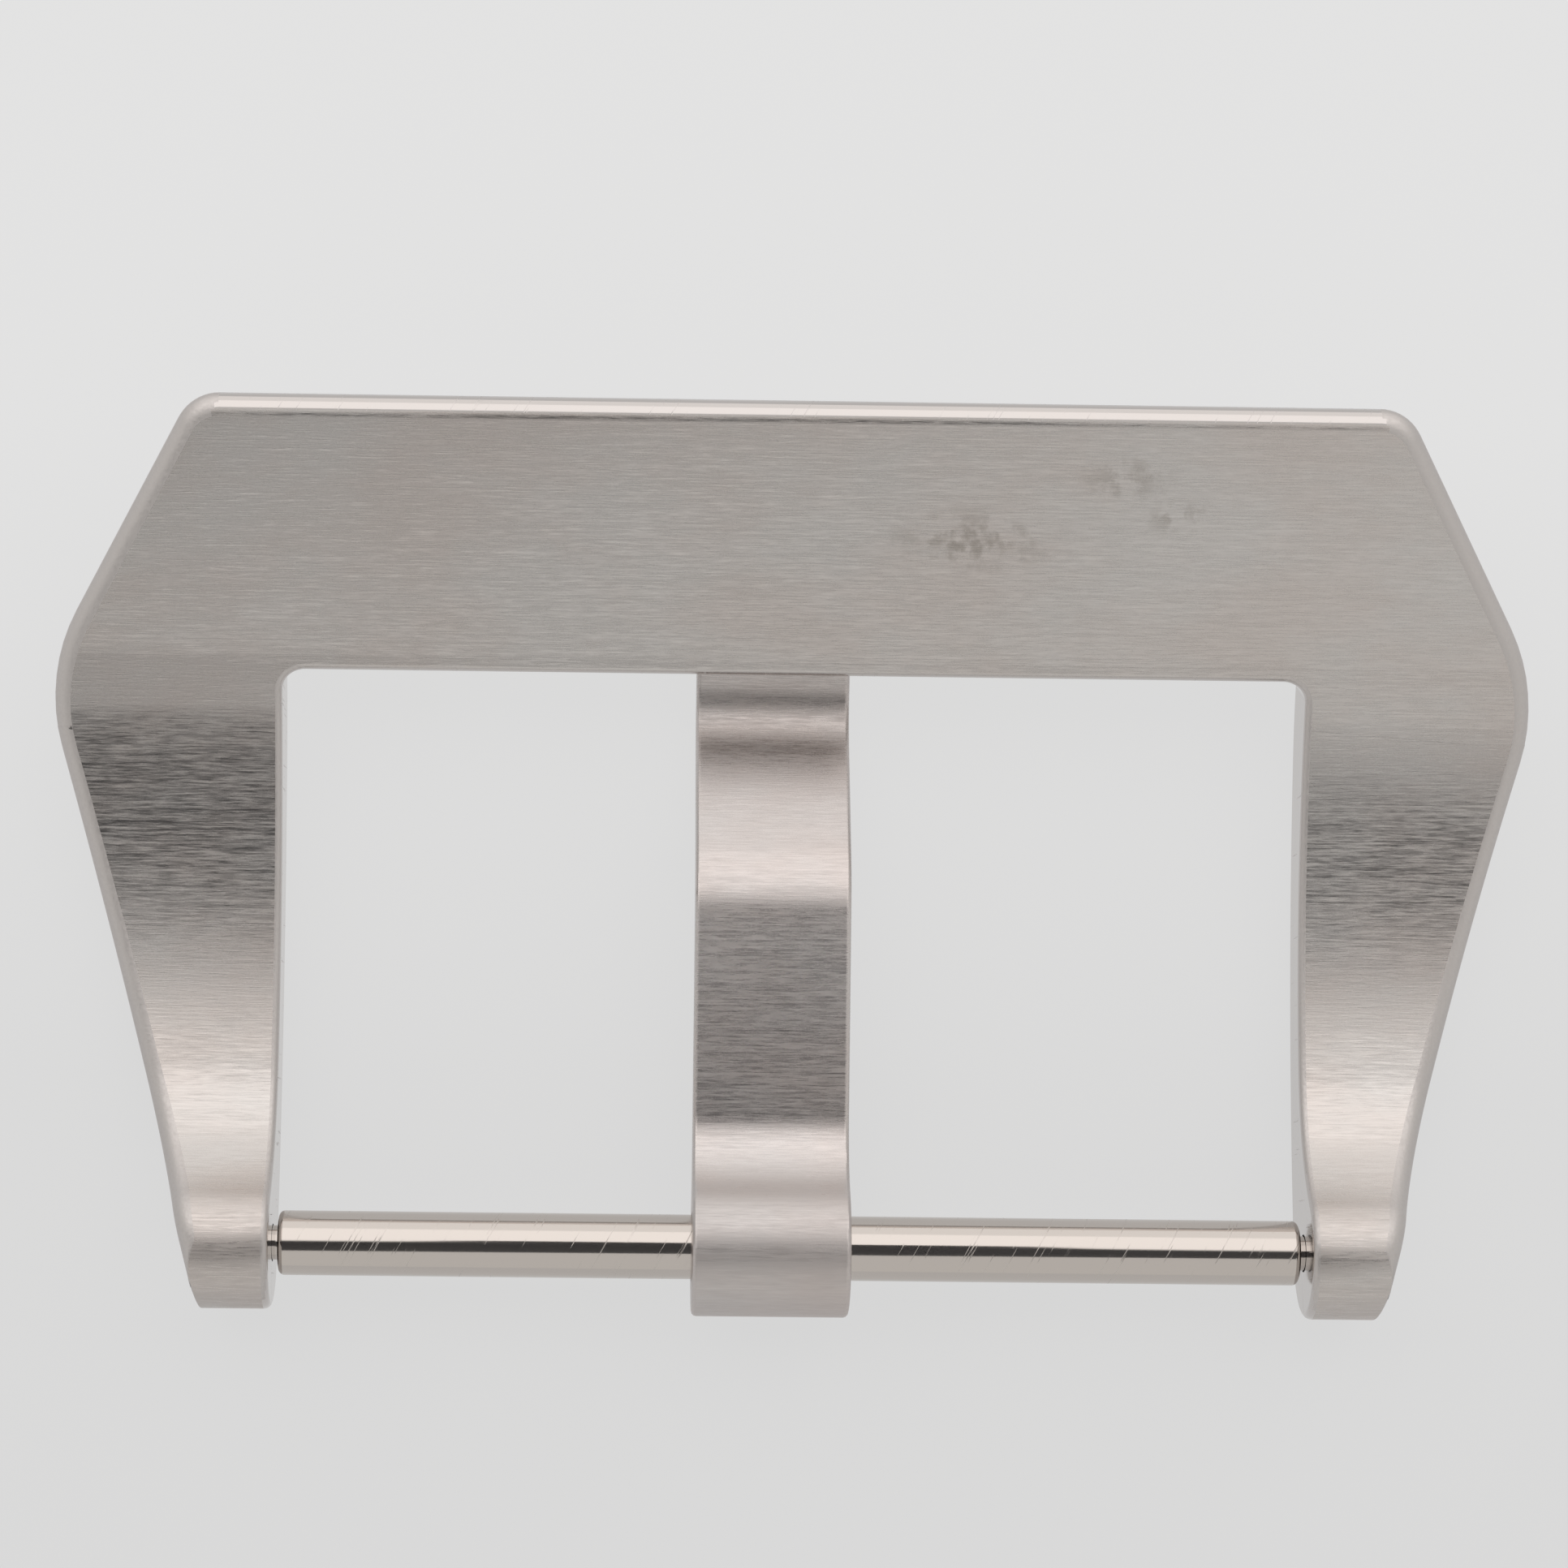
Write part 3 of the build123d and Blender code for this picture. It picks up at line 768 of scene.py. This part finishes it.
def polished_steel(name, base):
    """Stainless steel buffed to a mirror: sharp reflections, crossed by hairline scratches from use."""
    material, tree, output = new_material(name)
    places = add_node(tree, "ShaderNodeTexCoord").outputs["Object"]
    slanted = add_node(
        tree, "ShaderNodeMapping", {"Vector": places, "Rotation": (0, 0, radians(-62))}).outputs[0]
    long, wide = SCRATCHES
    scale = (1 / (long * MM), 1 / (wide * MM), 1 / (long * MM))
    thin = add_node(tree, "ShaderNodeVectorMath", {0: slanted, 1: scale}, operation="MULTIPLY").outputs[0]
    hairs = add_node(tree, "ShaderNodeTexNoise", {"Vector": thin, "Scale": 1.0, "Detail": 1.0}).outputs["Fac"]
    scratches = add_node(
        tree, "ShaderNodeMapRange", {"Value": hairs, "From Min": 0.68, "From Max": 0.74}).outputs[0]
    relief = add_node(
        tree, "ShaderNodeBump", {"Height": scratches, "Strength": 1.0, "Distance": SCRATCH_DEPTH * MM},
        invert=True)
    rough = add_node(
        tree, "ShaderNodeMapRange", {"Value": scratches, "To Min": 0.11, "To Max": 0.32}).outputs[0]
    shader = add_node(
        tree, "ShaderNodeBsdfPrincipled",
        {"Base Color": (*base, 1), "Metallic": 1.0, "Roughness": rough, "Normal": relief.outputs[0]})
    tree.links.new(shader.outputs[0], output.inputs[0])
    return material


def pale_table(base):
    """Matt white card that glows, with painted light that brightens it a little towards its far side, and
    only a faint shadow of the buckle left.
    """
    material, tree, output = new_material("Matt white card")
    seen = add_node(tree, "ShaderNodeLightPath")
    shown = add_node(
        tree, "ShaderNodeMath", {0: seen.outputs["Is Camera Ray"], 1: seen.outputs["Is Glossy Ray"]},
        operation="MAXIMUM")
    share = add_node(tree, "ShaderNodeMath", {0: shown.outputs[0], 1: GLOW_SHARE}, operation="MULTIPLY")
    card = add_node(tree, "ShaderNodeBsdfPrincipled", {"Base Color": (*base, 1), "Roughness": 0.9})
    places = add_node(tree, "ShaderNodeTexCoord").outputs["Object"]
    away = add_node(tree, "ShaderNodeSeparateXYZ", {0: places}).outputs["Y"]
    # Painted light: the card's glow grows a little towards its far side, as if it were lit more brightly
    # there.
    strength = add_node(
        tree, "ShaderNodeMapRange",
        {"Value": away, "From Min": 4 * MM, "From Max": 20 * MM, "To Min": 0.98, "To Max": 1.06}).outputs[0]
    glow = add_node(tree, "ShaderNodeEmission", {"Color": (*base, 1), "Strength": strength})
    mixed = add_node(
        tree, "ShaderNodeMixShader", {0: share.outputs[0], 1: card.outputs[0], 2: glow.outputs[0]})
    tree.links.new(mixed.outputs[0], output.inputs[0])
    return material


def half_coil(side):
    """Half of the coil, cut from the solid at the bar's middle and closed where it was cut."""
    mesh = bmesh.new()
    mesh.from_mesh(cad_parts["spring_bar_coil"].data)
    bmesh.ops.scale(mesh, vec=(1 / MM, 1 / MM, 1 / MM), verts=mesh.verts)
    bmesh.ops.remove_doubles(mesh, verts=mesh.verts, dist=TOUCHING)
    cut = bmesh.ops.bisect_plane(
        mesh, geom=[*mesh.verts, *mesh.edges, *mesh.faces], plane_co=(0, 0, 0), plane_no=(side, 0, 0),
        clear_inner=True)
    rim = [part for part in cut["geom_cut"] if isinstance(part, bmesh.types.BMEdge)]
    end = bmesh.ops.holes_fill(mesh, edges=rim)
    bmesh.ops.triangulate(mesh, faces=end["faces"])
    bmesh.ops.recalc_face_normals(mesh, faces=mesh.faces)
    return mesh


def frame_finish(sizes, face):
    """Which of the frame's three finishes a face has."""
    beside = abs(face.normal.x) > BRUSHED_LIMIT
    if face.center.y > sizes.window_reach + sizes.window_round:
        if beside or face.normal.z < 0:
            return TUMBLED
        far_rim = face.center.y > sizes.frame_reach - sizes.rim_round and face.normal.y > 0
        return BURNISHED if far_rim else BRUSHED
    if abs(face.center.x) < sizes.strap_width / 2 + sizes.window_edge_round:
        far_wall = face.center.y > sizes.window_reach - sizes.window_round and face.normal.y < -WALL_SHARE
        if not (beside or far_wall):
            return BRUSHED
        return TUMBLED if face.normal.z > EDGE_SHARE else BURNISHED
    return TUMBLED if beside else BRUSHED


class BUCKLE_OT_frame(bpy.types.Operator):
    """Model the brushed frame"""

    bl_idname = "buckle.frame"
    bl_label = "Frame"

    def execute(self, context):
        mesh = model_frame(in_millimetres(context.scene.buckle_frame))
        colours = context.scene.buckle_colours
        steel = brushed_steel(
            "Belt-brushed stainless steel", colours.frame_steel, seed=0.0, roughness=0.2, unevenness=0.17,
            stain=colours.stain, marks=STAINS)
        piece = finish_piece("buckle_frame", mesh, "frame", ["frame"], steel)
        piece.data.materials.append(satin_steel("Tumbled stainless side walls", colours.frame_steel))
        piece.data.materials.append(polished_steel("Burnished stainless edges", colours.frame_steel))
        sizes = context.scene.buckle_frame
        for face in piece.data.polygons:
            face.material_index = frame_finish(sizes, face)
        return {"FINISHED"}


class BUCKLE_OT_tang(bpy.types.Operator):
    """Model the brushed tang"""

    bl_idname = "buckle.tang"
    bl_label = "Tang"

    def execute(self, context):
        frame_sizes = in_millimetres(context.scene.buckle_frame)
        mesh = model_tang(frame_sizes, in_millimetres(context.scene.buckle_tang))
        colours = context.scene.buckle_colours
        steel = brushed_steel(
            "Brushed stainless strip", colours.tang_steel, seed=0.37, roughness=0.26, unevenness=0.11)
        finish_piece("buckle_tang", mesh, "tang", ["tang"], steel)
        return {"FINISHED"}


class BUCKLE_OT_spring_bar(bpy.types.Operator):
    """Model the spring bar: its polished tube, its two tips and the two halves of its coil"""

    bl_idname = "buckle.spring_bar"
    bl_label = "Spring bar"

    def execute(self, context):
        sizes = in_millimetres(context.scene.buckle_bar)
        colours = context.scene.buckle_colours
        steel = polished_steel("Polished stainless steel", colours.bar_steel)
        inside = sizes.tube_half_length - sizes.lip_length
        half_tube = [
            (sizes.tube_half_length, sizes.tube_radius, sizes.end_round),
            (sizes.tube_half_length, sizes.lip_radius, 0),
            (inside, sizes.lip_radius, 0),
            (inside, sizes.bore_radius, 0),
        ]
        tube = [*half_tube, *((-x, r, soft) for x, r, soft in reversed(half_tube))]
        mesh = turned([(x, r) for x, r, _ in tube], [soft for *_, soft in tube], sizes.steps)
        finish_piece("bar_tube", mesh, "spring_bar", ["spring_bar_tube"], steel)
        for side, name in SIDES:
            tip = [
                (side * sizes.head_back, 0),
                (side * sizes.head_back, sizes.head_radius),
                (side * sizes.head_front, sizes.head_radius),
                (side * sizes.head_front, sizes.pivot_radius),
                (side * sizes.pivot_reach, sizes.pivot_radius),
                (side * sizes.pivot_reach, 0),
            ]
            mesh = turned(tip, [0, 0, 0, 0, sizes.pivot_round, 0], sizes.steps)
            finish_piece(
                f"bar_tip_{name}", mesh, f"tip_{name}", [f"spring_bar_tip_{name}"], steel)
        wire = polished_steel("Drawn spring wire", colours.spring_wire)
        for side, name in SIDES:
            piece = finish_piece(
                f"bar_coil_{name}", half_coil(side), "spring_bar", ["spring_bar_coil"], wire)
            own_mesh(piece)
        return {"FINISHED"}


class BUCKLE_OT_stage(bpy.types.Operator):
    """Lay the table, place the lights and set the camera"""

    bl_idname = "buckle.stage"
    bl_label = "Stage"

    def execute(self, context):
        colours = context.scene.buckle_colours
        mesh = bmesh.new()
        bmesh.ops.create_grid(mesh, size=TABLE_REACH)
        bmesh.ops.translate(mesh, vec=(0, 0, cad_box[0].z), verts=mesh.verts)
        data = bpy.data.meshes.new("table")
        mesh.to_mesh(data)
        mesh.free()
        data.materials.append(pale_table(colours.table))
        table = bpy.data.objects.new("table", data)
        context.scene.collection.objects.link(table)

        world = bpy.data.worlds.new("Pale room")
        world.use_nodes = True
        room = world.node_tree.nodes["Background"]
        room.inputs["Color"].default_value = (*linear("#E2E1DF"), 1)
        room.inputs["Strength"].default_value = 1.0
        context.scene.world = world

        place_lights(context)
        place_camera(context)
        context.scene.view_settings.view_transform = "Standard"
        return {"FINISHED"}


def light_panel(context, name, lean, distance, wide, deep, brightness):
    """A flat light that faces the buckle, leaning from overhead towards the far edge."""
    middle = Vector((0, 8 * MM, 0))
    away = Vector((0, sin(lean), cos(lean)))
    light = bpy.data.lights.new(name, "AREA")
    light.shape = "RECTANGLE"
    light.size = wide
    light.size_y = deep
    # A panel is as bright as a quarter of its power over its area.
    light.energy = brightness * 4 * wide * deep
    light.color = linear("#FFFAF9")
    panel = bpy.data.objects.new(name, light)
    context.scene.collection.objects.link(panel)
    turn = away.to_track_quat("Z", "Y").to_matrix().to_4x4()
    panel.matrix_world = Matrix.Translation(middle + away * distance) @ turn
    panel.visible_camera = False


def place_lights(context):
    """A wide softbox beyond the wide bar, a dimmer one below it, and a dark hood round the lens."""
    light_panel(context, "Softbox", lean=radians(29), distance=0.3, wide=0.6, deep=0.245, brightness=0.55)
    light_panel(
        context, "Dim fill", lean=radians(71.5), distance=0.3, wide=0.6, deep=0.225, brightness=0.32)

    mesh = bmesh.new()
    # The hood's corners, in millimetres
    near_edge = ((-90, 4, 50), (-12, 4, 50), (-9, 10, 43), (10, 10, 43), (13, 4, 50), (90, 4, 50))
    far_edge = ((80, -64, 200), (-60, -124, 200))
    corners = [mesh.verts.new(Vector(corner) * MM) for corner in near_edge + far_edge]
    mesh.faces.new(corners)
    data = bpy.data.meshes.new("lens_hood")
    mesh.to_mesh(data)
    mesh.free()
    material, tree, output = new_material("Matt black card")
    dark = (*linear("#555558"), 1)
    card = add_node(tree, "ShaderNodeBsdfPrincipled", {"Base Color": dark, "Roughness": 0.9})
    tree.links.new(card.outputs[0], output.inputs[0])
    data.materials.append(material)
    hood = bpy.data.objects.new("lens_hood", data)
    context.scene.collection.objects.link(hood)
    hood.visible_camera = False


def place_camera(context):
    """The camera over the spring bar, leaning a little towards the wide bar, as the photograph was taken."""
    focal_pixels = 5155.8
    left_shift_pixels = 100.4
    down_shift_pixels = 80.1
    data = bpy.data.cameras.new("Camera")
    data.sensor_width = 36.0
    data.lens = focal_pixels / PHOTO_SIDE * data.sensor_width
    data.shift_x = left_shift_pixels / PHOTO_SIDE
    data.shift_y = down_shift_pixels / PHOTO_SIDE
    data.clip_start = 5 * MM
    camera = bpy.data.objects.new("Camera", data)
    context.scene.collection.objects.link(camera)
    place = Vector((-3.9034, -1.3943, 97.7542)) * MM
    lean, tilt, turn = 0.1091, -0.0182, 0.0124  # radians about X, Y and Z
    camera.matrix_world = (
        Matrix.Translation(place)
        @ Matrix.Rotation(lean, 4, "X")
        @ Matrix.Rotation(tilt, 4, "Y")
        @ Matrix.Rotation(turn, 4, "Z"))
    context.scene.camera = camera


class BUCKLE_PT_panel(bpy.types.Panel):
    """Lists the buckle's pieces, sizes and colours"""

    bl_idname = "BUCKLE_PT_panel"
    bl_label = "Watch Tang Buckle"
    bl_space_type = "VIEW_3D"
    bl_region_type = "UI"
    bl_category = "Buckle"

    def draw(self, context):
        for operator in OPERATORS:
            self.layout.operator(operator.bl_idname)
        for name, group in GROUPS.items():
            box = self.layout.box()
            box.label(text=name.replace("_", " ").capitalize())
            for key in group.__annotations__:
                box.prop(getattr(context.scene, name), key)


GROUPS = {
    "buckle_frame": BuckleFrameSizes,
    "buckle_tang": BuckleTangSizes,
    "buckle_bar": BuckleBarSizes,
    "buckle_colours": BuckleColours,
}
OPERATORS = (BUCKLE_OT_frame, BUCKLE_OT_tang, BUCKLE_OT_spring_bar, BUCKLE_OT_stage)


def register():
    """Makes the groups, operators and panel known to Blender."""
    for group in GROUPS.values():
        bpy.utils.register_class(group)
    for operator in OPERATORS:
        bpy.utils.register_class(operator)
    bpy.utils.register_class(BUCKLE_PT_panel)
    for name, group in GROUPS.items():
        setattr(bpy.types.Scene, name, PointerProperty(type=group))


def unregister():
    """Takes them out again."""
    for name in GROUPS:
        delattr(bpy.types.Scene, name)
    bpy.utils.unregister_class(BUCKLE_PT_panel)
    for known in (*OPERATORS, *GROUPS.values()):
        bpy.utils.unregister_class(known)


def main():
    """Builds every piece and the stage."""
    register()
    for step in (bpy.ops.buckle.frame, bpy.ops.buckle.tang, bpy.ops.buckle.spring_bar, bpy.ops.buckle.stage):
        step()


if __name__ == "__main__":
    main()
